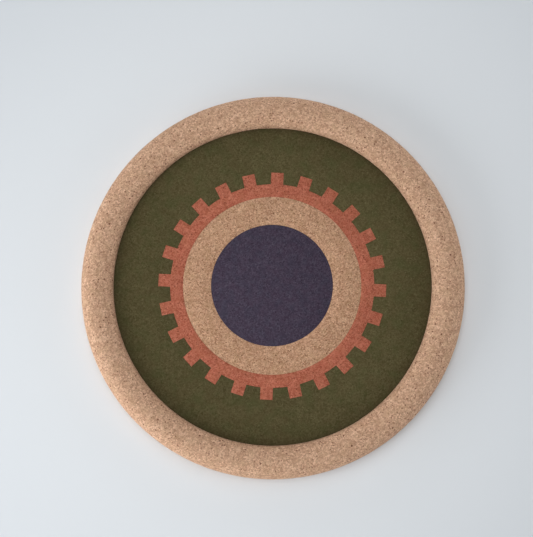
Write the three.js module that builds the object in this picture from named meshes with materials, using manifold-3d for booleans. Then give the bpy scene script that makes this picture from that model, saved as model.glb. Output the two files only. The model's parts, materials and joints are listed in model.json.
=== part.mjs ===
// Round cork bulletin board that hangs on a wall. Millimetres: X runs to the right, Z runs up,
// the wall is the plane Y = 0 and the pin face looks along -Y. The origin is the point of the
// wall where the hook stands, and the board's centre lies straight below it.
import * as THREE from "three";
import { ParametricGeometry } from "three/addons/geometries/ParametricGeometry.js";
import { mergeVertices } from "three/addons/utils/BufferGeometryUtils.js";
import Module from "manifold-3d";

// Rim: a half-round ring of cork, its heights measured from the wall.
const boardRadius = 190;
const openingRadius = 157.3;
const crestHeight = 26.5;
const shoulderHeight = 11; // where the outer wall turns into the curve
const lipHeight = 2; // straight wall between the face and the inner curve
const backChamfer = 1.2;
const innerArcSteps = 7;
const outerArcSteps = 8;

// Flat layers, from the wall outwards. Neighbours keep the width of a glue line between them.
const glueGap = 0.3;
const rearRecess = 5;
const backingThickness = 3;
const coreThickness = 3.9;
const faceThickness = 2;
const layerRadius = 163.9;
const rebateRadius = 164.3;

// Face pattern: disc, band and toothed ring let into the field.
const discRadius = 60.3;
const bandRadius = 88.2;
const cogRootRadius = 101;
const cogTipRadius = 112.7;
const toothWidth = 12.4;
const toothCount = 24;
const cogTurn = THREE.MathUtils.degToRad(2.9); // clockwise, seen from the front

// Hanger: a strap of sheet steel, curled at the top round the straight bar of a D-shaped ring.
const hingeRise = 116; // pivot above the board's centre
const sheetSteel = 0.8;
const strapWidth = 14;
const strapDrop = 38; // from the pivot to the strap's lower end
const curlTurn = THREE.MathUtils.degToRad(295);
const curlSteps = 20;
const wireRadius = 1.1;
const pivotClearance = 0.3;
const bowRadius = 10.1; // to the middle of the wire
const bowCorner = 2;
const legLength = 6; // from the bar to the centre of the bow
const ringSteps = 56;
const wireSides = 10;

// Screws: pan head, 3 mm by 8 mm.
const shankRadius = 1.5;
const shankLength = 8;
const tipLength = 2.5;
const headRadius = 2.8;
const headHeight = 1.6;
const holeRadius = 1.8;
const screwDrops = { upper_screw: 24, lower_screw: 32 }; // below the pivot

const circleSteps = 96;
const holeSteps = 20;
const screwSteps = 24;

// Distances from the wall that follow from the stack.
const backingFront = rearRecess + backingThickness;
const coreBack = backingFront + glueGap;
const coreFront = coreBack + coreThickness;
const faceBack = coreFront + glueGap;
const faceFront = faceBack + faceThickness;
const lipBack = faceFront + glueGap;
const strapBack = rearRecess - glueGap;
const strapFront = strapBack - sheetSteel;
const curlInner = wireRadius + pivotClearance;
const curlOuter = curlInner + sheetSteel;
const pivotDepth = strapBack - curlOuter;
const hookReach = legLength + bowRadius - wireRadius; // pivot to the inside of the bow
const boardDrop = hingeRise + hookReach;

const wasm = await Module();
wasm.setup();

const cork = { roughness: 0.9, metalness: 0 };
const steel = { roughness: 0.35, metalness: 1 };
const materials = {
  rimCork: new THREE.MeshStandardMaterial({ color: "#b39177", ...cork }),
  oliveCork: new THREE.MeshStandardMaterial({ color: "#4d472f", ...cork }),
  terracottaCork: new THREE.MeshStandardMaterial({ color: "#a05d49", ...cork }),
  plainCork: new THREE.MeshStandardMaterial({ color: "#ad876c", ...cork }),
  aubergineCork: new THREE.MeshStandardMaterial({ color: "#423a48", ...cork }),
  coreCork: new THREE.MeshStandardMaterial({ color: "#8f6a4a", ...cork }),
  hardboard: new THREE.MeshStandardMaterial({ color: "#8a6440", roughness: 0.8, metalness: 0 }),
  zincSteel: new THREE.MeshStandardMaterial({ color: "#b4b7ba", ...steel }),
};

// A closed solid for booleans, from any closed geometry.
function solidOf(geometry) {
  const bare = geometry.clone();
  bare.deleteAttribute("normal");
  bare.deleteAttribute("uv");
  const merged = mergeVertices(bare, 1e-3);
  return new wasm.Manifold(
    new wasm.Mesh({
      numProp: 3,
      vertProperties: merged.attributes.position.array,
      triVerts: new Uint32Array(merged.index.array),
    }),
  );
}

function geometryOf(solid) {
  const { vertProperties, triVerts } = solid.getMesh();
  const geometry = new THREE.BufferGeometry();
  geometry.setAttribute("position", new THREE.BufferAttribute(vertProperties, 3));
  geometry.setIndex(new THREE.BufferAttribute(triVerts, 1));
  geometry.computeVertexNormals();
  return geometry;
}

// Points of an arc, both ends included. Angles run anticlockwise from the first axis.
function arcPoints(centreX, centreY, radiusX, radiusY, from, to, steps) {
  return Array.from({ length: steps + 1 }, (_, i) => {
    const angle = from + ((to - from) * i) / steps;
    return new THREE.Vector2(
      centreX + radiusX * Math.cos(angle),
      centreY + radiusY * Math.sin(angle),
    );
  });
}

function circle(radius, steps = circleSteps, centreY = 0) {
  return arcPoints(0, centreY, radius, radius, 0, 2 * Math.PI, steps).slice(0, -1);
}

// Square-ended teeth round a circle. grow moves the whole outline outwards.
function cogOutline(grow) {
  const half = toothWidth / 2 + grow;
  const root = cogRootRadius + grow;
  const rootFoot = Math.sqrt(root * root - half * half);
  const tip = cogTipRadius + grow;
  const corners = [
    [rootFoot, -half],
    [tip, -half],
    [tip, half],
    [rootFoot, half],
  ];
  const pitch = (2 * Math.PI) / toothCount;
  const points = [];
  for (let tooth = 0; tooth < toothCount; tooth++) {
    const angle = Math.PI / 2 - cogTurn + tooth * pitch;
    const along = new THREE.Vector2(Math.cos(angle), Math.sin(angle));
    const across = new THREE.Vector2(-along.y, along.x);
    for (const [out, side] of corners) {
      points.push(along.clone().multiplyScalar(out).addScaledVector(across, side));
    }
    const gapMiddle = angle + pitch / 2;
    points.push(new THREE.Vector2(Math.cos(gapMiddle), Math.sin(gapMiddle)).multiplyScalar(root));
  }
  return points;
}

// A flat layer parallel to the wall, between two distances from it.
function layer(outline, holes, back, front) {
  const shape = new THREE.Shape(outline);
  shape.holes = holes.map((points) => new THREE.Path(points));
  const geometry = new THREE.ExtrudeGeometry(shape, { depth: front - back, bevelEnabled: false });
  return geometry.rotateX(Math.PI / 2).translate(0, -back, 0);
}

function rimGeometry() {
  const crestRadius = (boardRadius + openingRadius) / 2;
  const halfWidth = (boardRadius - openingRadius) / 2;
  const innerFoot = lipBack + lipHeight;
  const half = Math.PI / 2;
  const innerArc = arcPoints(
    crestRadius, innerFoot, halfWidth, crestHeight - innerFoot, Math.PI, half, innerArcSteps,
  );
  const outerArc = arcPoints(
    crestRadius, shoulderHeight, halfWidth, crestHeight - shoulderHeight, half, 0, outerArcSteps,
  );
  const section = [
    new THREE.Vector2(rebateRadius, 0),
    new THREE.Vector2(rebateRadius, lipBack),
    new THREE.Vector2(openingRadius, lipBack),
    ...innerArc,
    ...outerArc.slice(1),
    new THREE.Vector2(boardRadius, backChamfer),
    new THREE.Vector2(boardRadius - backChamfer, 0),
    new THREE.Vector2(rebateRadius, 0),
  ];
  const heightAlongMinusY = section.map((point) => new THREE.Vector2(point.x, -point.y));
  return new THREE.LatheGeometry(heightAlongMinusY, circleSteps);
}

function strapGeometry() {
  // Section across the pivot, drawn with the distance from the wall against the height.
  const curl = (radius, from, to) =>
    arcPoints(pivotDepth, 0, radius, radius, from, to, curlSteps);
  const section = new THREE.Shape([
    new THREE.Vector2(strapFront, -strapDrop),
    new THREE.Vector2(strapBack, -strapDrop),
    ...curl(curlOuter, 0, curlTurn),
    ...curl(curlInner, curlTurn, 0),
  ]);
  const sheet = new THREE.ExtrudeGeometry(section, { depth: strapWidth, bevelEnabled: false });
  sheet.translate(0, 0, -strapWidth / 2);
  // Shape x is the distance from the wall, shape y the height: turn them onto -Y and Z.
  const turned = new THREE.Matrix4().makeBasis(
    new THREE.Vector3(0, -1, 0),
    new THREE.Vector3(0, 0, 1),
    new THREE.Vector3(-1, 0, 0),
  );
  sheet.applyMatrix4(turned);

  const roundEnd = strapWidth / 2;
  const outline = [
    new THREE.Vector2(roundEnd, curlOuter + glueGap),
    new THREE.Vector2(-roundEnd, curlOuter + glueGap),
    ...arcPoints(0, roundEnd - strapDrop, roundEnd, roundEnd, Math.PI, 2 * Math.PI, holeSteps),
  ];
  const holes = Object.values(screwDrops).map((drop) => circle(holeRadius, holeSteps, -drop));
  const cutter = layer(outline, holes, -glueGap, rearRecess + glueGap);
  return geometryOf(solidOf(sheet).intersect(solidOf(cutter)));
}

function hangerRingGeometry() {
  // Middle line of the wire, hanging straight down from the pivot, from the middle of the bar.
  const line = new THREE.Path();
  const quarter = Math.PI / 2;
  line.moveTo(0, 0);
  line.lineTo(bowRadius - bowCorner, 0);
  line.absarc(bowRadius - bowCorner, -bowCorner, bowCorner, quarter, 0, true);
  line.lineTo(bowRadius, -legLength);
  line.absarc(0, -legLength, bowRadius, 0, -Math.PI, true);
  line.lineTo(-bowRadius, -bowCorner);
  line.absarc(bowCorner - bowRadius, -bowCorner, bowCorner, Math.PI, quarter, true);
  line.lineTo(0, 0);
  return new ParametricGeometry(
    (along, around, target) => {
      const middle = line.getPointAt(along % 1);
      const tangent = line.getTangentAt(along % 1);
      const angle = (around % 1) * 2 * Math.PI;
      const outward = wireRadius * Math.cos(angle);
      target.set(
        middle.x - tangent.y * outward,
        wireRadius * Math.sin(angle),
        middle.y + tangent.x * outward,
      );
    },
    ringSteps,
    wireSides,
  );
}

function screwGeometry() {
  // Profile from the tip to the crown of the head, which looks at the wall.
  const profile = [
    new THREE.Vector2(0, -shankLength),
    new THREE.Vector2(shankRadius, tipLength - shankLength),
    new THREE.Vector2(shankRadius, 0),
    ...arcPoints(0, 0, headRadius, headHeight, 0, Math.PI / 2, 5),
  ];
  profile[profile.length - 1].x = 0;
  return new THREE.LatheGeometry(profile, screwSteps);
}

function piece(name, geometry, material, x = 0, y = 0, z = 0) {
  const mesh = new THREE.Mesh(geometry, material);
  mesh.name = name;
  mesh.position.set(x, y, z);
  return mesh;
}

const seam = glueGap / 2;
const screwHoles = Object.values(screwDrops).map((drop) =>
  circle(holeRadius, holeSteps, hingeRise - drop),
);

const layers = new THREE.Group();
layers.add(
  piece("rim", rimGeometry(), materials.rimCork),
  piece(
    "field_sheet",
    layer(circle(layerRadius), [cogOutline(seam)], faceBack, faceFront),
    materials.oliveCork,
  ),
  piece(
    "cog_ring",
    layer(cogOutline(-seam), [circle(bandRadius + seam)], faceBack, faceFront),
    materials.terracottaCork,
  ),
  piece(
    "plain_band",
    layer(circle(bandRadius - seam), [circle(discRadius + seam)], faceBack, faceFront),
    materials.plainCork,
  ),
  piece(
    "centre_disc",
    layer(circle(discRadius - seam), [], faceBack, faceFront),
    materials.aubergineCork,
  ),
  piece("core_board", layer(circle(layerRadius), screwHoles, coreBack, coreFront), materials.coreCork),
  piece(
    "backing_board",
    layer(circle(layerRadius), screwHoles, rearRecess, backingFront),
    materials.hardboard,
  ),
);

const hanger = new THREE.Group();
hanger.position.z = hingeRise;
hanger.add(
  piece("hanger_strap", strapGeometry(), materials.zincSteel),
  piece("hanger_ring", hangerRingGeometry(), materials.zincSteel, 0, -pivotDepth, 0),
);
for (const [name, drop] of Object.entries(screwDrops)) {
  const headSeat = strapFront - glueGap;
  hanger.add(piece(name, screwGeometry(), materials.zincSteel, 0, -headSeat, -drop));
}

const group = new THREE.Group();
group.position.z = -boardDrop;
group.add(layers, hanger);

export default group;
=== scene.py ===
import json
import math

import bmesh
import bpy
from mathutils import Matrix, Vector


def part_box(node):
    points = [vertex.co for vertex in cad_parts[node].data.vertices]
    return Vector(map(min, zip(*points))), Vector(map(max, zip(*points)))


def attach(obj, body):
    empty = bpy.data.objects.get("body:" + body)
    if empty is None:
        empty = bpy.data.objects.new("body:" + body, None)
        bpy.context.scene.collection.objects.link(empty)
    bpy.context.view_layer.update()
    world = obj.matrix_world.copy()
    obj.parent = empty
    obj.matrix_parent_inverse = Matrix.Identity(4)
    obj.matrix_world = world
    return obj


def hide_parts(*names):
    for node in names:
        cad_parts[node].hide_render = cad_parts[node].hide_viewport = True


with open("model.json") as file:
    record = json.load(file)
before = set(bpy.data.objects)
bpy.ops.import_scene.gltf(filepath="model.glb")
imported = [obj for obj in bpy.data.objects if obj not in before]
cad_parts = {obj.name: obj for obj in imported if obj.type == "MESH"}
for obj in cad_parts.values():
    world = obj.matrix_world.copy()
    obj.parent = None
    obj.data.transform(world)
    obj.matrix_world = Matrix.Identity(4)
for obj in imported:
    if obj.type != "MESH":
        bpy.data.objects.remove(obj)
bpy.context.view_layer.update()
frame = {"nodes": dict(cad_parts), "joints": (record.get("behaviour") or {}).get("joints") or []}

# Places read from the frame: Y is the depth, the wall is Y = 0 and the pin face looks along -Y
rimLow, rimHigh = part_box("rim")
discLow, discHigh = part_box("centre_disc")
backingLow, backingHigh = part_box("backing_board")
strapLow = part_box("hanger_strap")[0]
boardRadius = rimHigh.x
boardZ = (rimLow.z + rimHigh.z) / 2        # height of the board's axis
crestY = rimLow.y
faceY = discLow.y
sheetBackY = discHigh.y
pivot = Vector(frame["joints"][0]["pos_m"])        # the hanger ring's hinge
fullTurn = 2 * math.pi
halfTurn = math.pi
quarterTurn = math.pi / 2
tiny = 1e-6        # metres, for telling places apart


def clearSelection():
    if bpy.context.mode != "OBJECT":
        bpy.ops.object.mode_set(mode="OBJECT")
    bpy.ops.object.select_all(action="DESELECT")


def focusOn(thing):
    clearSelection()
    thing.select_set(True)
    bpy.context.view_layer.objects.active = thing


def editMesh(thing, kind="VERT"):
    focusOn(thing)
    bpy.ops.object.mode_set(mode="EDIT")
    bpy.ops.mesh.select_mode(type=kind)
    bpy.ops.mesh.select_all(action="DESELECT")


def pick(test, kind="verts"):        # selects what passes the test, in the mesh that is being edited
    bpy.ops.mesh.select_all(action="DESELECT")
    shape = bmesh.from_edit_mesh(bpy.context.object.data)
    for part in getattr(shape, kind):
        if test(part):
            part.select_set(True)
    shape.select_flush_mode()
    bmesh.update_edit_mesh(bpy.context.object.data)


def edgeMiddle(edge):
    return (edge.verts[0].co + edge.verts[1].co) / 2


def isRimOf(edge, depth):        # an edge where the flat side at that depth turns into a wall
    walls = [abs(face.normal.y) < 0.5 for face in edge.link_faces]
    return all(abs(v.co.y - depth) < tiny for v in edge.verts) and any(walls)


def settlePlace(thing, name):        # the place goes into the mesh, and the object to the origin
    focusOn(thing)
    bpy.ops.object.transform_apply(location=True, rotation=True, scale=True)
    thing.name = name
    thing.data.name = name
    return thing


def useModifier(thing, kind, **settings):
    focusOn(thing)
    modifier = thing.modifiers.new(kind.lower(), kind)
    for setting, value in settings.items():
        setattr(modifier, setting, value)
    bpy.ops.object.modifier_apply(modifier=modifier.name)


def cutWith(thing, cutter, operation="DIFFERENCE"):
    useModifier(thing, "BOOLEAN", operation=operation, solver="EXACT", object=cutter)
    bpy.data.objects.remove(cutter)


def cleanMesh(thing, mergeWithin=1e-6):
    editMesh(thing)
    bpy.ops.mesh.select_all(action="SELECT")
    bpy.ops.mesh.remove_doubles(threshold=mergeWithin)
    bpy.ops.mesh.normals_make_consistent(inside=False)
    clearSelection()


def smoothBy(thing, degrees):
    focusOn(thing)
    bpy.ops.object.shade_smooth_by_angle(angle=math.radians(degrees))


def handOver(thing, material, body, slot, *nodes):        # finish, body, record slot (not used), CAD nodes it stands for
    thing.data.materials.clear()
    thing.data.materials.append(material)
    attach(thing, body)
    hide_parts(*nodes)


def addNode(tree, kind, place, **settings):
    node = tree.nodes.new(kind)
    node.location = place
    for setting, value in settings.items():
        setattr(node, setting, value)
    return node


def newGroup(name, inputs, outputs):
    group = bpy.data.node_groups.new(name, "ShaderNodeTree")
    group.interface.new_socket("Place", in_out="INPUT", socket_type="NodeSocketVector")
    for socketName, value in inputs.items():
        socket = group.interface.new_socket(socketName, in_out="INPUT", socket_type="NodeSocketFloat")
        socket.default_value = value
    for socketName in outputs:
        group.interface.new_socket(socketName, in_out="OUTPUT", socket_type="NodeSocketFloat")
    start = addNode(group, "NodeGroupInput", (-1400, 0))
    end = addNode(group, "NodeGroupOutput", (1000, 0))
    return group, start, end


def mathNode(tree, operation, place, first, second=None, third=None, clamp=False):
    node = addNode(tree, "ShaderNodeMath", place, operation=operation, use_clamp=clamp)
    for socket, value in zip(node.inputs, (first, second, third)):
        if isinstance(value, bpy.types.NodeSocket):
            tree.links.new(value, socket)
        elif value is not None:
            socket.default_value = value
    return node.outputs[0]


def rangeNode(tree, place, value, fromLow, fromHigh, toLow=0.0, toHigh=1.0):
    node = addNode(tree, "ShaderNodeMapRange", place)
    tree.links.new(value, node.inputs["Value"])
    node.inputs["From Min"].default_value = fromLow
    node.inputs["From Max"].default_value = fromHigh
    node.inputs["To Min"].default_value = toLow
    node.inputs["To Max"].default_value = toHigh
    return node.outputs["Result"]


def mixColour(tree, place, share, first, second, blend="MIX"):
    node = addNode(tree, "ShaderNodeMix", place, data_type="RGBA", blend_type=blend)
    for socket, value in ((node.inputs[0], share), (node.inputs[6], first), (node.inputs[7], second)):
        if isinstance(value, bpy.types.NodeSocket):
            tree.links.new(value, socket)
        elif isinstance(value, tuple):
            socket.default_value = (*value, 1)
        else:
            socket.default_value = value
    return node.outputs[2]


def newMaterial(name):
    material = bpy.data.materials.new(name)
    material.use_nodes = True
    tree = material.node_tree
    shader = tree.nodes["Principled BSDF"]
    shader.location = (900, 0)
    tree.nodes["Material Output"].location = (1200, 0)
    place = addNode(tree, "ShaderNodeTexCoord", (-1200, 0)).outputs["Object"]
    return material, tree, shader, place


def noiseOn(tree, place, spot, scale, detail=2.0):
    node = addNode(tree, "ShaderNodeTexNoise", spot)
    node.inputs["Scale"].default_value = scale
    node.inputs["Detail"].default_value = detail
    tree.links.new(place, node.inputs["Vector"])
    return node.outputs["Fac"]


cameraRig = {
    "distance": 1.30, "lift": -5.5, "swing": 2.2,        # metres, then degrees upward and to the right
    "radiusShare": 0.3574,        # the board's radius over the height of the view
    "aimRight": -0.00535, "aimUp": 0.0167,        # from the board's axis to the middle of the view
    "nearest": 0.01,
}


def placeCamera():
    lift, swing = math.radians(cameraRig["lift"]), math.radians(cameraRig["swing"])
    target = Vector((cameraRig["aimRight"], faceY, boardZ + cameraRig["aimUp"]))
    back = Vector((
        math.sin(swing) * math.cos(lift), -math.cos(swing) * math.cos(lift), math.sin(lift),
    ))
    bpy.ops.object.camera_add(location=target + back * cameraRig["distance"])
    camera = bpy.context.object
    camera.name = "mainCamera"
    camera.rotation_mode = "QUATERNION"
    camera.rotation_quaternion = (-back).to_track_quat("-Z", "Y")
    viewHeight = boardRadius / cameraRig["radiusShare"]        # metres that the view takes in
    camera.data.lens = camera.data.sensor_width * cameraRig["distance"] / viewHeight
    camera.data.clip_start = cameraRig["nearest"]
    bpy.context.scene.camera = camera


lamps = {        # seen from the pin face: clockwise from the right, height off its plane, metres away
    "window": {"clock": 150, "height": 15, "distance": 1.3, "size": 1.0, "watts": 11.6},
    "zenith": {"clock": 0, "height": 90, "distance": 2.0, "size": 1.2, "watts": 10.8},
    "above": {"clock": 270, "height": 60, "distance": 2.4, "size": 1.4, "watts": 10.0},
    "left": {"clock": 180, "height": 60, "distance": 2.4, "size": 1.4, "watts": 5.2},
    "right": {"clock": 0, "height": 60, "distance": 2.4, "size": 1.4, "watts": 2.5},
    "behind": {"clock": 225, "height": -78, "distance": 1.6, "size": 2.0, "watts": 24.0},
    **{        # pale walls all round, low over the board's plane
        f"wall{step}": {"clock": 45 * step, "height": 12, "distance": 2.4, "size": 1.4, "watts": 9.6}
        for step in range(8)
    },
}
sky = {"tone": (0.90, 0.93, 0.95), "seen": 0.9}        # pale to look at, with no light of its own


def placeLights():
    for name, lamp in lamps.items():
        clock, height = math.radians(lamp["clock"]), math.radians(lamp["height"])
        direction = Vector((
            math.cos(clock) * math.cos(height), -math.sin(height), -math.sin(clock) * math.cos(height),
        ))
        place = Vector((0, faceY, boardZ)) + direction * lamp["distance"]
        bpy.ops.object.light_add(type="AREA", location=place)
        light = bpy.context.object
        light.name = name + "Light"
        light.rotation_mode = "QUATERNION"
        light.rotation_quaternion = (-direction).to_track_quat("-Z", "Y")
        light.data.shape = "DISK"
        light.data.size = lamp["size"]
        light.data.energy = lamp["watts"]
    world = bpy.data.worlds.new("paleRoom")
    bpy.context.scene.world = world
    world.use_nodes = True
    tree = world.node_tree
    air = tree.nodes["Background"]
    air.inputs["Color"].default_value = (*sky["tone"], 1)
    ray = addNode(tree, "ShaderNodeLightPath", (-600, 0))
    strength = mathNode(tree, "MULTIPLY", (-400, 0), ray.outputs["Is Camera Ray"], sky["seen"])
    tree.links.new(strength, air.inputs["Strength"])
    bpy.context.scene.view_settings.view_transform = "Standard"


backdrop = {
    "size": 4.4, "gap": 0.0004, "rough": 0.6, "gloss": 0.2, "reach": 1.3,
    "falloffTones": {        # metres from the board's axis, and the colour there: painted falloff of light, darker away from the board
        0.22: (0.762, 0.80, 0.834), 0.42: (0.66, 0.70, 0.74),
        0.60: (0.60, 0.64, 0.67), 1.2: (0.28, 0.30, 0.32),
    },
}


def placeBackdrop():        # the pale surface behind the board, clear when seen from its back, with painted falloff of light away from the board
    s = backdrop
    bpy.ops.mesh.primitive_plane_add(
        size=s["size"], location=(0, s["gap"], boardZ), rotation=(quarterTurn, 0, 0),
    )
    plane = settlePlace(bpy.context.object, "paleFloor")
    paint, tree, shader, place = newMaterial("palePaint")
    link = tree.links.new
    fromAxis = addNode(tree, "ShaderNodeVectorMath", (-900, 0), operation="DISTANCE")
    fromAxis.inputs[1].default_value = (0, s["gap"], boardZ)
    link(place, fromAxis.inputs[0])
    # painted falloff of light: the backdrop's colour darkens with distance from the board's axis
    fade = addNode(tree, "ShaderNodeValToRGB", (-500, 0))
    while len(fade.color_ramp.elements) < len(s["falloffTones"]):
        fade.color_ramp.elements.new(0.5)
    for stop, (metres, tone) in zip(fade.color_ramp.elements, s["falloffTones"].items()):
        stop.position = metres / s["reach"]
        stop.color = (*tone, 1)
    link(mathNode(tree, "DIVIDE", (-700, 0), fromAxis.outputs["Value"], s["reach"]), fade.inputs["Fac"])
    link(fade.outputs["Color"], shader.inputs["Base Color"])
    shader.inputs["Roughness"].default_value = s["rough"]
    shader.inputs["Specular IOR Level"].default_value = s["gloss"]
    clear = addNode(tree, "ShaderNodeBsdfTransparent", (700, -400))
    either = addNode(tree, "ShaderNodeMixShader", (1050, 0))
    geometry = addNode(tree, "ShaderNodeNewGeometry", (700, 300))
    link(geometry.outputs["Backfacing"], either.inputs["Fac"])
    link(shader.outputs["BSDF"], either.inputs[1])
    link(clear.outputs["BSDF"], either.inputs[2])
    link(either.outputs["Shader"], tree.nodes["Material Output"].inputs["Surface"])
    plane.data.materials.append(paint)
    plane.visible_shadow = False        # the light behind the board reaches its back


placeCamera()
placeLights()
placeBackdrop()
print("camera, lights and backdrop placed")


# The rim's section, which its cork finish also goes by
rimShape = {
    "width": 0.0327, "points": 88, "steps": 1200,        # section points and steps round the board
    "shoulder": 0.011, "foot": 0.0168,        # heights where the outer and the inner curve start
    "rebateRadius": 0.1643, "rebateDepth": 0.0148, "backRound": 0.0012,
    "longSide": 0.004, "sideCuts": 7, "weld": 1e-5, "smoothBelow": 50,
    "lumps": {        # size and height of the waviness left by sanding, and of the granules
        "sandedLumps": {"size": 0.007, "height": 0.00026, "depth": 2},
        "granuleLumps": {"size": 0.0021, "height": 0.00020, "depth": 1},
    },
}


grainMix = {
    "coarse": 0.62, "fine": 0.20, "dust": 0.18,        # shares in a granule's tone
    "fineScale": 2.3, "dustScale": 1.6, "warp": 1.2,        # against the size of the granules
    "fleckLeast": 0.18, "fleckSpread": 0.20, "faintest": 0.3,        # radius in cells, and how dark
    "seamWidth": 0.09, "toneRise": 0.6, "seamDip": -0.30, "fleckDip": -0.45,
}


def makeCorkGrain():        # a tone for each pressed granule, dark bark flecks, pale granules and seams
    s = grainMix
    group, start, end = newGroup(
        "corkGrain",
        {"Granules": 560.0, "Flecks": 210.0, "Fleck Share": 0.05, "Pale Share": 0.1},
        ("Tone", "Fleck", "Pale", "Seam", "Height"),
    )
    link = group.links.new
    place, granules = start.outputs["Place"], start.outputs["Granules"]
    warp = addNode(group, "ShaderNodeTexNoise", (-1200, 300))
    warp.inputs["Detail"].default_value = 1.0
    link(place, warp.inputs["Vector"])
    link(granules, warp.inputs["Scale"])
    centred = addNode(group, "ShaderNodeVectorMath", (-1050, 300), operation="SUBTRACT")
    centred.inputs[1].default_value = (0.5, 0.5, 0.5)
    link(warp.outputs["Color"], centred.inputs[0])
    reach = mathNode(group, "DIVIDE", (-1050, 120), s["warp"], granules)
    push = addNode(group, "ShaderNodeVectorMath", (-900, 300), operation="SCALE")
    link(centred.outputs["Vector"], push.inputs[0])
    link(reach, push.inputs["Scale"])
    bent = addNode(group, "ShaderNodeVectorMath", (-750, 200), operation="ADD")
    link(place, bent.inputs[0])
    link(push.outputs["Vector"], bent.inputs[1])
    bent = bent.outputs["Vector"]

    def cells(place, scale, feature="F1"):
        node = addNode(group, "ShaderNodeTexVoronoi", place, feature=feature)
        link(bent, node.inputs["Vector"])
        link(scale, node.inputs["Scale"])
        return node

    def channels(place, node):
        split = addNode(group, "ShaderNodeSeparateColor", place)
        link(node.outputs["Color"], split.inputs["Color"])
        return split.outputs

    coarse = cells((-500, 500), granules)
    coarseRandom = channels((-300, 500), coarse)
    fine = cells((-500, 250), mathNode(group, "MULTIPLY", (-700, 0), granules, s["fineScale"]))
    fineRandom = channels((-300, 250), fine)
    dust = addNode(group, "ShaderNodeTexNoise", (-500, 0))
    dust.inputs["Detail"].default_value = 3.0
    link(bent, dust.inputs["Vector"])
    link(mathNode(group, "MULTIPLY", (-700, -120), granules, s["dustScale"]), dust.inputs["Scale"])
    dustTone = rangeNode(group, (-300, 0), dust.outputs["Fac"], 0.28, 0.72)
    tone = mathNode(group, "MULTIPLY", (-100, 500), coarseRandom[0], s["coarse"])
    tone = mathNode(group, "MULTIPLY_ADD", (50, 450), fineRandom[0], s["fine"], tone)
    tone = mathNode(group, "MULTIPLY_ADD", (200, 400), dustTone, s["dust"], tone)

    bark = cells((-500, -250), start.outputs["Flecks"])
    barkRandom = channels((-300, -250), bark)
    isBark = mathNode(group, "LESS_THAN", (-100, -250), barkRandom[1], start.outputs["Fleck Share"])
    grown = mathNode(group, "MULTIPLY_ADD", (-100, -400), barkRandom[2], s["fleckSpread"], s["fleckLeast"])
    blot = mathNode(group, "SUBTRACT", (50, -400), grown, bark.outputs["Distance"])
    depth = rangeNode(group, (50, -250), barkRandom[0], 0.0, 1.0, s["faintest"], 1.0)        # some are faint
    fleck = mathNode(group, "MULTIPLY", (350, -250), isBark, rangeNode(group, (200, -400), blot, -0.04, 0.06))
    fleck = mathNode(group, "MULTIPLY", (450, -250), fleck, depth)
    palest = mathNode(group, "SUBTRACT", (-100, -600), 1.0, start.outputs["Pale Share"])
    pale = mathNode(group, "GREATER_THAN", (50, -600), coarseRandom[2], palest)
    borders = cells((-500, -800), granules, "DISTANCE_TO_EDGE")
    seam = rangeNode(group, (-300, -800), borders.outputs["Distance"], 0.0, s["seamWidth"], 1.0, 0.0)
    height = mathNode(group, "MULTIPLY_ADD", (500, 0), tone, s["toneRise"], 1 - s["toneRise"])
    height = mathNode(group, "MULTIPLY_ADD", (650, 0), seam, s["seamDip"], height)
    height = mathNode(group, "MULTIPLY_ADD", (800, 0), fleck, s["fleckDip"], height)
    for name, value in (("Tone", tone), ("Fleck", fleck), ("Pale", pale), ("Seam", seam), ("Height", height)):
        link(value, end.inputs[name])
    return group


def makeCreasePaintedShade():        # painted shade where the rim meets the face, darkest in the crease: 1 at that radius, 0 away from it
    group, start, end = newGroup("creasePaintedShade", {"Radius": 0.1573, "Reach": 0.008}, ("PaintedShade",))
    link = group.links.new
    flat = addNode(group, "ShaderNodeVectorMath", (-1100, 0), operation="MULTIPLY_ADD")
    flat.inputs[1].default_value = (1, 0, 1)
    flat.inputs[2].default_value = (0, 0, -boardZ)
    link(start.outputs["Place"], flat.inputs[0])
    fromAxis = addNode(group, "ShaderNodeVectorMath", (-900, 0), operation="LENGTH")
    link(flat.outputs["Vector"], fromAxis.inputs[0])
    away = mathNode(group, "SUBTRACT", (-700, 0), fromAxis.outputs["Value"], start.outputs["Radius"])
    away = mathNode(group, "ABSOLUTE", (-550, 0), away)
    away = mathNode(group, "DIVIDE", (-400, 0), away, start.outputs["Reach"])
    near = mathNode(group, "SUBTRACT", (-250, 0), 1.0, away, clamp=True)
    link(mathNode(group, "POWER", (-100, 0), near, 1.5), end.inputs["PaintedShade"])
    return group


corkGrain = makeCorkGrain()
creasePaintedShade = makeCreasePaintedShade()


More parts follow.
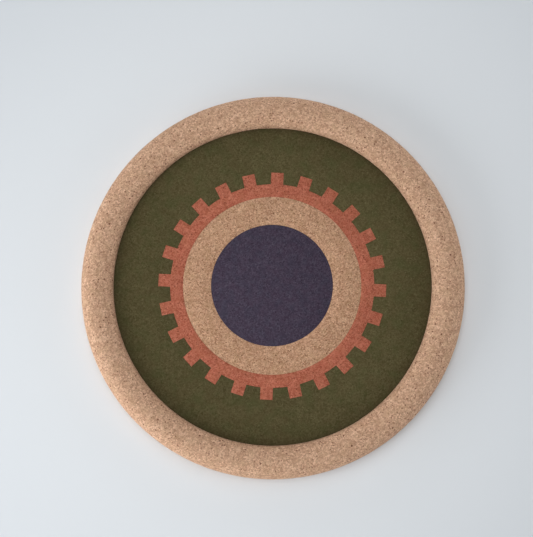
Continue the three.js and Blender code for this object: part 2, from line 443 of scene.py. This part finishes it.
def makeCork(name, look):
    material, tree, shader, place = newMaterial(name)
    grain = addNode(tree, "ShaderNodeGroup", (-900, 0), node_tree=corkGrain)
    tree.links.new(place, grain.inputs["Place"])
    for socketName, key in (
        ("Granules", "granules"), ("Flecks", "flecks"),
        ("Fleck Share", "fleckShare"), ("Pale Share", "paleShare"),
    ):
        grain.inputs[socketName].default_value = look[key]
    out = grain.outputs
    colour = mixColour(tree, (-500, 200), out["Tone"], look["dark"], look["light"])
    cloud = rangeNode(tree, (-700, 500), noiseOn(tree, place, (-900, 500), look["cloudScale"]), 0.3, 0.7)
    cloudShare = mathNode(tree, "MULTIPLY", (-500, 500), cloud, look["cloudShare"])
    colour = mixColour(tree, (-400, 200), cloudShare, colour, look["cloud"])
    tint = rangeNode(tree, (-700, 700), noiseOn(tree, place, (-900, 700), look["tintScale"]), 0.45, 0.72)
    tintShare = mathNode(tree, "MULTIPLY", (-500, 700), tint, look["tintShare"])
    colour = mixColour(tree, (-250, 200), tintShare, colour, look["tint"])
    paleShare = mathNode(tree, "MULTIPLY", (-300, 0), out["Pale"], look["paleStrength"])
    colour = mixColour(tree, (-100, 200), paleShare, colour, look["pale"])
    seamShare = mathNode(tree, "MULTIPLY", (-100, 0), out["Seam"], look["seamStrength"])
    colour = mixColour(tree, (100, 200), seamShare, colour, look["seam"])
    fleckShare = mathNode(tree, "MULTIPLY", (100, 0), out["Fleck"], look["fleckStrength"])
    colour = mixColour(tree, (300, 200), fleckShare, colour, look["fleck"])
    # painted shade: the colour darkens in the crease at the rim's inner foot and on the face next to it
    if "creaseReach" in look:
        creaseShade = addNode(tree, "ShaderNodeGroup", (100, 500), node_tree=creasePaintedShade)
        tree.links.new(place, creaseShade.inputs["Place"])
        creaseShade.inputs["Radius"].default_value = boardRadius - rimShape["width"]
        creaseShade.inputs["Reach"].default_value = look["creaseReach"]
        creaseShadeShare = mathNode(tree, "MULTIPLY", (300, 500), creaseShade.outputs["PaintedShade"], look["creaseStrength"])
        colour = mixColour(tree, (500, 300), creaseShadeShare, colour, look["creaseShade"])
    tree.links.new(colour, shader.inputs["Base Color"])
    rough = rangeNode(tree, (300, -100), out["Tone"], 0.0, 1.0, look["roughest"], look["smoothest"])
    tree.links.new(rough, shader.inputs["Roughness"])
    bump = addNode(tree, "ShaderNodeBump", (600, -300))
    bump.inputs["Strength"].default_value = look["bump"]
    bump.inputs["Distance"].default_value = look["bumpDepth"]
    tree.links.new(out["Height"], bump.inputs["Height"])
    tree.links.new(bump.outputs["Normal"], shader.inputs["Normal"])
    shader.inputs["Specular IOR Level"].default_value = look["gloss"]
    return material


rimCorkLook = {
    "granules": 760.0, "flecks": 400.0, "fleckShare": 0.40, "paleShare": 0.09,
    "dark": (0.220, 0.105, 0.0521), "light": (0.916, 0.615, 0.426),
    "cloud": (0.512, 0.280, 0.173), "cloudScale": 150.0, "cloudShare": 0.35,
    "tint": (0.512, 0.336, 0.195), "tintScale": 120.0, "tintShare": 0.35,
    "pale": (0.866, 0.617, 0.427), "paleStrength": 0.2,
    "seam": (0.237, 0.112, 0.0577), "seamStrength": 0.35,
    "fleck": (0.134, 0.0431, 0.0212), "fleckStrength": 1.0,
    # painted shade in the crease at the rim's inner foot
    "creaseShade": (0.119, 0.0572, 0.0322), "creaseReach": 0.005, "creaseStrength": 0.2,
    "roughest": 0.88, "smoothest": 0.76, "bump": 0.8, "bumpDepth": 0.0004, "gloss": 0.22,
}
plainCorkLook = {
    **rimCorkLook, "granules": 880.0, "flecks": 540.0, "fleckShare": 0.28,
    "dark": (0.188, 0.0786, 0.0316), "light": (0.847, 0.541, 0.351),
    "cloud": (0.481, 0.236, 0.141), "tint": (0.433, 0.268, 0.137),
    "seam": (0.192, 0.0833, 0.0385), "fleck": (0.135, 0.0574, 0.0256), "fleckStrength": 0.85, "bump": 0.5,
}
del plainCorkLook["creaseReach"]
oliveCorkLook = {
    **rimCorkLook, "granules": 850.0, "flecks": 500.0, "fleckShare": 0.22,
    "dark": (0.0417, 0.0330, 0.0090), "light": (0.141, 0.120, 0.0560),
    "cloud": (0.0835, 0.0621, 0.0258), "cloudScale": 95.0, "cloudShare": 0.45,
    "tint": (0.0577, 0.0680, 0.0215), "tintScale": 75.0, "tintShare": 0.45,
    "pale": (0.154, 0.134, 0.0672), "paleStrength": 0.3, "seam": (0.0378, 0.0301, 0.0103),
    "fleck": (0.0239, 0.0175, 0.0060), "fleckStrength": 0.7,
    # painted shade on the field next to the rim's foot
    "creaseShade": (0.0199, 0.0136, 0.0069), "creaseReach": 0.0085, "creaseStrength": 0.3,
    "bump": 0.35, "gloss": 0.12,
}
terracottaCorkLook = {
    **plainCorkLook,
    "dark": (0.210, 0.0387, 0.0155), "light": (0.644, 0.234, 0.147),
    "cloud": (0.426, 0.0972, 0.0571), "cloudShare": 0.4, "tint": (0.357, 0.113, 0.0530),
    "pale": (0.614, 0.252, 0.147), "paleStrength": 0.2, "seam": (0.198, 0.0405, 0.0196),
    "fleck": (0.129, 0.0270, 0.0130), "fleckStrength": 0.85, "bump": 0.35,
}
aubergineCorkLook = {
    **plainCorkLook, "granules": 800.0,
    "dark": (0.0262, 0.0185, 0.0339), "light": (0.0937, 0.0757, 0.110),
    "cloud": (0.0600, 0.0351, 0.0600), "cloudShare": 0.45, "tint": (0.0412, 0.0425, 0.0658), "tintShare": 0.4,
    "pale": (0.103, 0.0849, 0.121), "paleStrength": 0.3, "seam": (0.0244, 0.0175, 0.0329),
    "fleck": (0.0169, 0.0111, 0.0213), "fleckStrength": 0.7, "bump": 0.35, "gloss": 0.12,
}
coreCorkLook = {
    **plainCorkLook, "granules": 330.0, "flecks": 150.0,
    "dark": (0.20, 0.10, 0.05), "light": (0.42, 0.24, 0.13),
}

rimCork = makeCork("rimCork", rimCorkLook)
plainCork = makeCork("plainCork", plainCorkLook)
oliveCork = makeCork("oliveCork", oliveCorkLook)
terracottaCork = makeCork("terracottaCork", terracottaCorkLook)
aubergineCork = makeCork("aubergineCork", aubergineCorkLook)
coreCork = makeCork("coreCork", coreCorkLook)
print("cork finishes mixed")

hardboardLook = {
    "mottleScale": 150.0, "fibreTurns": (0.3, 1.2, 2.0, 2.8),        # radians that each set of fibres lies at
    "dark": (0.165, 0.090, 0.046), "light": (0.265, 0.155, 0.083),
    "fibre": (0.40, 0.26, 0.15), "fibreShare": 0.38, "fibreScale": 1500.0, "fibreLength": 7.0,
    "screenPitch": 0.0016, "screenBump": 0.55, "screenDepth": 0.0003, "rough": 0.78,
}


def makeHardboard():        # pressed brown fibre, with the print of the press screen on its back
    look = hardboardLook
    material, tree, shader, place = newMaterial("hardboard")
    link = tree.links.new
    mottle = noiseOn(tree, place, (-900, 300), look["mottleScale"], 4.0)
    mottle = rangeNode(tree, (-700, 300), mottle, 0.3, 0.7)
    colour = mixColour(tree, (-500, 200), mottle, look["dark"], look["light"])
    fibres = None
    for spot, turn in zip((500, 700, 900, 1100), look["fibreTurns"]):
        lay = addNode(tree, "ShaderNodeMapping", (-1100, spot), vector_type="TEXTURE")
        lay.inputs["Scale"].default_value = (look["fibreLength"], 1, 1)
        lay.inputs["Rotation"].default_value = (0, turn, 0)
        link(place, lay.inputs["Vector"])
        strand = noiseOn(tree, lay.outputs["Vector"], (-900, spot), look["fibreScale"], 1.0)
        strand = rangeNode(tree, (-700, spot), strand, 0.64, 0.76)
        fibres = strand if fibres is None else mathNode(tree, "MAXIMUM", (-500, 600), fibres, strand)
    share = mathNode(tree, "MULTIPLY", (-300, 500), fibres, look["fibreShare"])
    colour = mixColour(tree, (-100, 200), share, colour, look["fibre"])
    axes = addNode(tree, "ShaderNodeSeparateXYZ", (-1000, -300))
    link(place, axes.inputs["Vector"])
    waves = []
    for spot, axis in ((-250, "X"), (-400, "Z")):
        phase = mathNode(tree, "MULTIPLY", (-800, spot), axes.outputs[axis], fullTurn / look["screenPitch"])
        waves.append(mathNode(tree, "SINE", (-650, spot), phase))
    weave = mathNode(tree, "MULTIPLY", (-500, -300), *waves)
    height = mathNode(tree, "MULTIPLY_ADD", (-300, -300), weave, 0.35, 0.5)
    height = mathNode(tree, "MULTIPLY_ADD", (-100, -300), fibres, 0.2, height)
    shade = rangeNode(tree, (0, 0), height, 0.15, 0.85, 0.72, 1.0)
    colour = mixColour(tree, (200, 200), 1.0, colour, shade, "MULTIPLY")
    link(colour, shader.inputs["Base Color"])
    shader.inputs["Specular IOR Level"].default_value = 0.3
    rough = rangeNode(tree, (300, -100), mottle, 0.0, 1.0, look["rough"] - 0.08, look["rough"] + 0.08)
    link(rough, shader.inputs["Roughness"])
    bump = addNode(tree, "ShaderNodeBump", (500, -300))
    bump.inputs["Strength"].default_value = look["screenBump"]
    bump.inputs["Distance"].default_value = look["screenDepth"]
    link(height, bump.inputs["Height"])
    link(bump.outputs["Normal"], shader.inputs["Normal"])
    return material


zincLook = {
    "bright": (0.70, 0.71, 0.72), "dull": (0.47, 0.48, 0.49), "warm": (0.66, 0.62, 0.52), "warmShare": 0.35,
    "smoothest": 0.36, "roughest": 0.58, "spangles": 900.0, "cloudScale": 240.0, "stainScale": 130.0,
    "scratchScale": 1500.0, "scratchTurns": (0.35, -0.9), "scratchBright": 0.4, "scratchRough": 0.12,
    "scratchDip": -0.6, "bump": 0.12, "bumpDepth": 0.00005,
}


def makeZincSteel():        # bright zinc plate: faint spangles, a warm passivation stain, fine scratches
    look = zincLook
    material, tree, shader, place = newMaterial("zincSteel")
    link = tree.links.new
    spangle = addNode(tree, "ShaderNodeTexVoronoi", (-900, 300))
    spangle.inputs["Scale"].default_value = look["spangles"]
    link(place, spangle.inputs["Vector"])
    split = addNode(tree, "ShaderNodeSeparateColor", (-700, 300))
    link(spangle.outputs["Color"], split.inputs["Color"])
    cloud = rangeNode(tree, (-700, 500), noiseOn(tree, place, (-900, 500), look["cloudScale"], 3.0), 0.3, 0.7)
    tone = mathNode(tree, "MULTIPLY", (-500, 300), split.outputs[0], 0.35)
    tone = mathNode(tree, "MULTIPLY_ADD", (-350, 300), cloud, 0.65, tone)
    colour = mixColour(tree, (-150, 200), tone, look["dull"], look["bright"])
    stain = noiseOn(tree, place, (-900, 700), look["stainScale"], 2.0)
    stain = rangeNode(tree, (-700, 700), stain, 0.5, 0.75)
    share = mathNode(tree, "MULTIPLY", (-350, 600), stain, look["warmShare"])
    colour = mixColour(tree, (50, 200), share, colour, look["warm"])
    scratches = None
    for spot, turn in zip((-300, -500), look["scratchTurns"]):        # sets of fine lines
        lay = addNode(tree, "ShaderNodeMapping", (-1100, spot))
        lay.inputs["Rotation"].default_value = (0, turn, 0)
        lay.inputs["Scale"].default_value = (1, 1, 0.04)
        link(place, lay.inputs["Vector"])
        line = noiseOn(tree, lay.outputs["Vector"], (-900, spot), look["scratchScale"], 1.0)
        line = rangeNode(tree, (-700, spot), line, 0.66, 0.74)
        scratches = line if scratches is None else mathNode(tree, "MAXIMUM", (-500, -400), scratches, line)
    share = mathNode(tree, "MULTIPLY", (50, 0), scratches, look["scratchBright"])
    colour = mixColour(tree, (250, 200), share, colour, look["bright"])
    link(colour, shader.inputs["Base Color"])
    shader.inputs["Metallic"].default_value = 1.0
    rough = rangeNode(tree, (100, -150), tone, 0.0, 1.0, look["roughest"], look["smoothest"])
    rough = mathNode(tree, "MULTIPLY_ADD", (300, -150), scratches, look["scratchRough"], rough)
    link(rough, shader.inputs["Roughness"])
    height = mathNode(tree, "MULTIPLY_ADD", (300, -350), scratches, look["scratchDip"], tone)
    bump = addNode(tree, "ShaderNodeBump", (500, -300))
    bump.inputs["Strength"].default_value = look["bump"]
    bump.inputs["Distance"].default_value = look["bumpDepth"]
    link(height, bump.inputs["Height"])
    link(bump.outputs["Normal"], shader.inputs["Normal"])
    return material


hardboard = makeHardboard()
zincSteel = makeZincSteel()
print("rear board and steel finishes mixed")


def makeRim():
    s = rimShape
    crestX = boardRadius - s["width"] / 2
    bpy.ops.mesh.primitive_circle_add(
        vertices=s["points"], radius=s["width"] / 2, location=(crestX, -s["shoulder"], boardZ),
    )
    rim = settlePlace(bpy.context.object, "corkRim")
    editMesh(rim)
    pick(lambda v: v.co.y < -s["shoulder"] - tiny)        # the front half rises to the crest
    bpy.ops.transform.resize(
        value=(1, (-crestY - s["shoulder"]) / (s["width"] / 2), 1), center_override=(0, -s["shoulder"], 0),
    )
    pick(lambda v: v.co.y > -s["shoulder"] + tiny)        # the back half lies on the wall
    bpy.ops.transform.resize(value=(1, 0, 1), center_override=(0, 0, 0))
    pick(lambda v: v.co.x < crestX - tiny and v.co.y < -tiny)        # the inner curve ends at the face
    bpy.ops.transform.resize(
        value=(1, (crestY + s["foot"]) / (crestY + s["shoulder"]), 1), center_override=(0, crestY, 0),
    )
    pick(lambda v: True)
    bpy.ops.mesh.edge_face_add()
    for cut, facing in (((s["rebateRadius"], 0, 0), (1, 0, 0)), ((0, -s["rebateDepth"], 0), (0, 1, 0))):
        pick(lambda v: True)
        bpy.ops.mesh.bisect(plane_co=cut, plane_no=facing)
    bpy.ops.mesh.select_mode(type="FACE")

    def inRebate(face):
        spot = face.calc_center_median()
        return spot.x < s["rebateRadius"] and spot.y > -s["rebateDepth"]

    pick(inRebate, "faces")
    bpy.ops.mesh.delete(type="FACE")
    pick(lambda face: True, "faces")
    bpy.ops.mesh.dissolve_faces()
    bpy.ops.mesh.select_mode(type="VERT")
    backCorner = boardRadius - s["backRound"] / 10
    pick(lambda v: v.co.y > -tiny and s["rebateRadius"] + tiny < v.co.x < backCorner)
    bpy.ops.mesh.dissolve_verts()        # the flat back needs no points of its own yet
    bpy.ops.mesh.select_mode(type="FACE")
    pick(lambda face: True, "faces")
    bpy.ops.mesh.delete(type="ONLY_FACE")
    bpy.ops.mesh.select_mode(type="VERT")
    pick(lambda v: v.co.x > backCorner and v.co.y > -tiny)
    bpy.ops.mesh.bevel(offset=s["backRound"], affect="VERTICES", segments=3)
    bpy.ops.mesh.select_mode(type="EDGE")
    pick(lambda e: e.calc_length() > s["longSide"], "edges")
    bpy.ops.mesh.subdivide(number_cuts=s["sideCuts"])
    pick(lambda e: True, "edges")
    bpy.ops.mesh.spin(
        steps=s["steps"], angle=fullTurn, center=(0, 0, boardZ), axis=(0, 1, 0), use_auto_merge=True,
    )
    clearSelection()
    cleanMesh(rim, s["weld"])
    worn = rim.vertex_groups.new(name="worn")
    worn.add([v.index for v in rim.data.vertices if v.co.y < -s["backRound"] * 2], 1.0, "REPLACE")
    for name, lump in s["lumps"].items():
        lumps = bpy.data.textures.new(name, "CLOUDS")
        lumps.noise_scale = lump["size"]
        lumps.noise_depth = lump["depth"]
        useModifier(
            rim, "DISPLACE", texture=lumps, texture_coords="LOCAL", direction="NORMAL",
            strength=lump["height"], mid_level=0.5, vertex_group="worn",
        )
    smoothBy(rim, s["smoothBelow"])
    return rim


rim = makeRim()
handOver(rim, rimCork, "board", "rim_cork", "rim")
print("rim made:", len(rim.data.polygons), "faces")


faceShape = {
    "fieldRadius": 0.1639, "bandRadius": 0.0882, "discRadius": 0.0603, "cogRoot": 0.1010,
    "cogTip": 0.1127, "toothWidth": 0.0124, "teeth": 24, "turn": 2.9,        # degrees clockwise
    "seam": 0.00003, "edgeRound": 0.00010, "weld": 0.00012, "roundSteps": 240, "smoothBelow": 35,
    "spare": 0.001,        # how far cutters and rough blanks reach past the sheet
}


def makeDisc(name, radius, low, high):        # a round plate between two depths
    bpy.ops.mesh.primitive_circle_add(
        vertices=faceShape["roundSteps"], radius=radius, fill_type="NGON",
        location=(0, low, boardZ), rotation=(quarterTurn, 0, 0),
    )
    disc = settlePlace(bpy.context.object, name)
    editMesh(disc)
    pick(lambda v: True)
    bpy.ops.mesh.extrude_region_move(TRANSFORM_OT_translate={"value": (0, high - low, 0)})
    clearSelection()
    cleanMesh(disc)
    return disc


def makeCogBlank(name, grow, low, high):        # a disc with square-ended teeth
    s = faceShape
    blank = makeDisc(name, s["cogRoot"] + grow, low - 2 * s["spare"], high + 2 * s["spare"])
    width = s["toothWidth"] + 2 * grow
    inner = s["cogRoot"] - s["toothWidth"] / 2
    length = s["cogTip"] + grow - inner
    bpy.ops.mesh.primitive_cube_add(
        size=1, location=(0, (low + high) / 2, boardZ + inner + length / 2),
        scale=(width, high - low + 2 * s["spare"], length),
    )
    tooth = settlePlace(bpy.context.object, name + "Tooth")
    toAxis = Matrix.Translation((0, 0, boardZ))
    copies = []
    for step in range(s["teeth"]):
        angle = math.radians(s["turn"]) + step * fullTurn / s["teeth"]
        copy = tooth.copy()
        copy.data = tooth.data.copy()
        bpy.context.collection.objects.link(copy)
        copy.data.transform(toAxis @ Matrix.Rotation(angle, 4, "Y") @ toAxis.inverted())
        copies.append(copy)
    bpy.data.objects.remove(tooth)
    clearSelection()
    for copy in copies:
        copy.select_set(True)
    bpy.context.view_layer.objects.active = copies[0]
    bpy.ops.object.join()
    cutWith(blank, bpy.context.object, "UNION")
    cutWith(blank, makeDisc("slab", s["fieldRadius"], low, high), "INTERSECT")        # down to the sheet
    return blank


def roundFrontEdges(sheet):
    editMesh(sheet, "EDGE")
    pick(lambda e: isRimOf(e, faceY), "edges")
    bpy.ops.mesh.bevel(offset=faceShape["edgeRound"], segments=2, affect="EDGES", clamp_overlap=True)
    clearSelection()
    smoothBy(sheet, faceShape["smoothBelow"])


def makeFace():
    s = faceShape
    past = s["spare"]
    disc = makeDisc("aubergineDisc", s["discRadius"] - s["seam"], faceY, sheetBackY)
    band = makeDisc("plainBand", s["bandRadius"] - s["seam"], faceY, sheetBackY)
    cutWith(band, makeDisc("cutter", s["discRadius"] + s["seam"], faceY - past, sheetBackY + past))
    cog = makeCogBlank("cogRing", -s["seam"], faceY, sheetBackY)
    cutWith(cog, makeDisc("cutter", s["bandRadius"] + s["seam"], faceY - past, sheetBackY + past))
    field = makeDisc("oliveField", s["fieldRadius"], faceY, sheetBackY)
    cutWith(field, makeCogBlank("cutter", s["seam"], faceY - past, sheetBackY + past))
    for sheet, material, slot, node in (
        (disc, aubergineCork, "aubergine_cork", "centre_disc"),
        (band, plainCork, "plain_cork", "plain_band"),
        (cog, terracottaCork, "terracotta_cork", "cog_ring"),
        (field, oliveCork, "olive_cork", "field_sheet"),
    ):
        cleanMesh(sheet, s["weld"])
        roundFrontEdges(sheet)
        handOver(sheet, material, "board", slot, node)


makeFace()
print("pin face made")

# The back: hardboard in the rear recess, and the hanger that is screwed to it

backingShape = {"radius": 0.1639, "edgeRound": 0.0004, "smoothBelow": 40}
hangerShape = {        # the strap, with heights measured down from the pivot
    "sheet": 0.0008, "width": 0.014, "drop": 0.038, "endRadius": 0.0069, "endSteps": 16,
    "curlTurn": 295.0, "curlSteps": 40, "edgeRound": 0.00014, "smoothBelow": 40,
    "screwDrops": {"upper_screw": 0.024, "lower_screw": 0.032},
    "holeRadius": 0.0018, "holeSides": 32, "drillReach": 0.002,
}


def drillHoles(thing, low, high):        # one clearance hole for each screw, between two depths
    s = hangerShape
    for drop in s["screwDrops"].values():
        bpy.ops.mesh.primitive_cylinder_add(
            vertices=s["holeSides"], radius=s["holeRadius"], depth=high - low,
            location=(0, (low + high) / 2, pivot.z - drop), rotation=(quarterTurn, 0, 0),
        )
        cutWith(thing, settlePlace(bpy.context.object, "drill"))
    cleanMesh(thing)


def makeBacking():
    s = backingShape
    board = makeDisc("rearBoard", s["radius"], backingLow.y, backingHigh.y)
    drillHoles(board, backingLow.y - hangerShape["drillReach"], backingHigh.y + hangerShape["drillReach"])
    editMesh(board, "EDGE")
    pick(lambda e: isRimOf(e, backingHigh.y), "edges")
    bpy.ops.mesh.bevel(offset=s["edgeRound"], segments=3, affect="EDGES")
    smoothBy(board, s["smoothBelow"])
    return board


def makeStrap():
    s = hangerShape
    bpy.ops.mesh.primitive_cube_add(
        size=1, location=(0, strapLow.y + s["sheet"] / 2, pivot.z - s["drop"] / 2),
        scale=(s["width"], s["sheet"], s["drop"]),
    )
    strap = settlePlace(bpy.context.object, "curledStrap")
    editMesh(strap, "EDGE")
    pick(lambda e: edgeMiddle(e).z < strapLow.z + tiny and abs(edgeMiddle(e).x) > tiny, "edges")
    bpy.ops.mesh.bevel(offset=s["endRadius"], segments=s["endSteps"], affect="EDGES")
    bpy.ops.mesh.select_mode(type="FACE")
    pick(lambda face: face.calc_center_median().z > pivot.z - tiny, "faces")
    bpy.ops.mesh.spin(
        steps=s["curlSteps"], angle=math.radians(s["curlTurn"]), center=pivot, axis=(1, 0, 0),
    )
    clearSelection()
    cleanMesh(strap)
    drillHoles(strap, strapLow.y - s["drillReach"] / 2, strapLow.y + s["drillReach"])
    useModifier(
        strap, "BEVEL", width=s["edgeRound"], segments=2,
        limit_method="ANGLE", angle_limit=math.radians(s["smoothBelow"]),
    )
    smoothBy(strap, s["smoothBelow"])
    return strap


ringShape = {        # a D of bent wire: a bow, two legs, and a straight bar that lies in the curl
    "wire": 0.0011, "sides": 24, "bow": 0.0101, "bowSteps": 64, "leg": 0.006,
    "corner": 0.002, "cornerSteps": 10, "jointGap": 0.00024, "endRound": 0.00015, "smoothBelow": 40,
}


def makeRing():
    s = ringShape
    low = pivot.z - s["leg"]
    bpy.ops.mesh.primitive_circle_add(
        vertices=s["sides"], radius=s["wire"], location=(s["bow"], pivot.y, low),
    )
    ring = settlePlace(bpy.context.object, "hangingRing")
    editMesh(ring)
    pick(lambda v: True)
    bpy.ops.mesh.spin(steps=s["bowSteps"], angle=halfTurn, center=(0, pivot.y, low), axis=(0, -1, 0))
    for side in (1, -1):        # up each leg, round its corner and in to the joint at the middle of the bar
        pick(lambda v: side * v.co.x > 0 and v.co.z > low - tiny)
        bpy.ops.mesh.extrude_region_move(TRANSFORM_OT_translate={"value": (0, 0, s["leg"] - s["corner"])})
        bpy.ops.mesh.spin(
            steps=s["cornerSteps"], angle=quarterTurn, axis=(0, side, 0),
            center=(side * (s["bow"] - s["corner"]), pivot.y, pivot.z - s["corner"]),
        )
        reach = s["bow"] - s["corner"] - s["jointGap"] / 2
        bpy.ops.mesh.extrude_region_move(TRANSFORM_OT_translate={"value": (-side * reach, 0, 0)})
        bpy.ops.mesh.edge_face_add()
        bpy.ops.mesh.bevel(offset=s["endRound"], segments=2, affect="EDGES")
    clearSelection()
    cleanMesh(ring)
    smoothBy(ring, s["smoothBelow"])
    return ring


screwShape = {
    "seat": 0.0036, "headRadius": 0.0028, "headHeight": 0.0016, "headRound": 0.00105, "sides": 48,
    "recessLength": 0.0031, "recessWidth": 0.00066, "recessDepth": 0.0010, "recessTaper": 0.4,
    "coreRadius": 0.00112, "thread": 0.00036, "pitch": 0.0011, "turnSteps": 24,
    "length": 0.0080, "tip": 0.0025, "tipShare": 0.08, "overlap": 0.0003, "smoothBelow": 35,
    "turns": {"upper_screw": 20.0, "lower_screw": 67.0},        # how far round each cross recess stands
}


def makeScrewHead(height):
    s = screwShape
    bpy.ops.mesh.primitive_circle_add(
        vertices=s["sides"], radius=s["headRadius"], fill_type="NGON",
        location=(0, -s["seat"], height), rotation=(quarterTurn, 0, 0),
    )
    head = settlePlace(bpy.context.object, "screwHead")
    editMesh(head)
    pick(lambda v: True)
    bpy.ops.mesh.extrude_region_move(TRANSFORM_OT_translate={"value": (0, s["headHeight"], 0)})
    bpy.ops.mesh.select_mode(type="EDGE")
    crown = s["headHeight"] - s["seat"]
    pick(lambda e: all(v.co.y > crown - tiny for v in e.verts), "edges")
    bpy.ops.mesh.bevel(offset=s["headRound"], segments=8, profile=0.6, affect="EDGES")
    clearSelection()
    cleanMesh(head)
    for turn in (0, quarterTurn):        # the two arms of the cross, narrower at the bottom
        bpy.ops.mesh.primitive_cube_add(
            size=1, location=(0, crown, height),
            scale=(s["recessLength"], 2 * s["recessDepth"], s["recessWidth"]),
        )
        arm = settlePlace(bpy.context.object, "recessArm")
        editMesh(arm)
        pick(lambda v: v.co.y < crown)
        bpy.ops.transform.resize(value=(s["recessTaper"], 1, 1), center_override=(0, crown, height))
        pick(lambda v: True)
        bpy.ops.transform.rotate(value=turn, orient_axis="Y", center_override=(0, crown, height))
        cutWith(head, arm)
    return head


def makeShank(height):        # a core with a thread wound round it, cut flat at both ends, and a point
    s = screwShape
    bpy.ops.mesh.primitive_plane_add(size=s["pitch"], location=(0, s["pitch"] - s["seat"], height))
    shank = bpy.context.object
    editMesh(shank)
    pick(lambda v: v.co.x > 0)
    bpy.ops.mesh.delete(type="VERT")
    pick(lambda v: True)
    bpy.ops.transform.translate(value=(s["coreRadius"] + s["pitch"] / 2, 0, 0))
    bpy.ops.mesh.subdivide(number_cuts=3)
    pick(lambda v: abs(v.co.y) < tiny)
    bpy.ops.transform.translate(value=(s["thread"], 0, 0))
    clearSelection()
    useModifier(
        shank, "SCREW", axis="Y", angle=fullTurn, screw_offset=-s["pitch"],
        iterations=math.ceil(s["length"] / s["pitch"]) + 2, steps=s["turnSteps"], render_steps=s["turnSteps"],
        use_merge_vertices=True, merge_threshold=tiny,
    )
    settlePlace(shank, "shank")
    cleanMesh(shank)
    top = s["overlap"] - s["seat"]
    end = s["tip"] - s["seat"] - s["length"]
    editMesh(shank)
    for level, facing in ((top, 1), (end, -1)):
        pick(lambda v: True)
        bpy.ops.mesh.bisect(
            plane_co=(0, level, height), plane_no=(0, facing, 0), use_fill=True, clear_outer=True,
        )
    bpy.ops.mesh.select_mode(type="FACE")
    pick(lambda face: face.calc_center_median().y < end + tiny, "faces")
    bpy.ops.mesh.extrude_region_move(TRANSFORM_OT_translate={"value": (0, -s["tip"], 0)})
    bpy.ops.transform.resize(value=(s["tipShare"], 1, s["tipShare"]), center_override=(0, end, height))
    clearSelection()
    cleanMesh(shank)
    return shank


def makeScrews():
    drops = hangerShape["screwDrops"]
    height = pivot.z - drops["upper_screw"]
    pattern = makeScrewHead(height)
    cutWith(pattern, makeShank(height), "UNION")
    cleanMesh(pattern)
    smoothBy(pattern, screwShape["smoothBelow"])
    for node, drop in drops.items():
        screw = pattern.copy()
        screw.data = pattern.data.copy()
        screw.name = screw.data.name = node.replace("_s", "S")
        bpy.context.collection.objects.link(screw)
        toCentre = Matrix.Translation((0, 0, -height))
        turn = Matrix.Rotation(math.radians(screwShape["turns"][node]), 4, "Y")
        screw.data.transform(Matrix.Translation((0, 0, pivot.z - drop)) @ turn @ toCentre)
        handOver(screw, zincSteel, "board", "zinc_steel", node)
    bpy.data.objects.remove(pattern)


handOver(makeBacking(), hardboard, "board", "hardboard", "backing_board")
print("rear board made")
handOver(makeStrap(), zincSteel, "board", "zinc_steel", "hanger_strap")
handOver(makeRing(), zincSteel, "ring", "zinc_steel", "hanger_ring")
makeScrews()
print("hanger made")

coreNode = frame["nodes"]["core_board"]        # closed in, so its plain shape stays
coreNode.data.materials.clear()
coreNode.data.materials.append(coreCork)
print("core board finished")
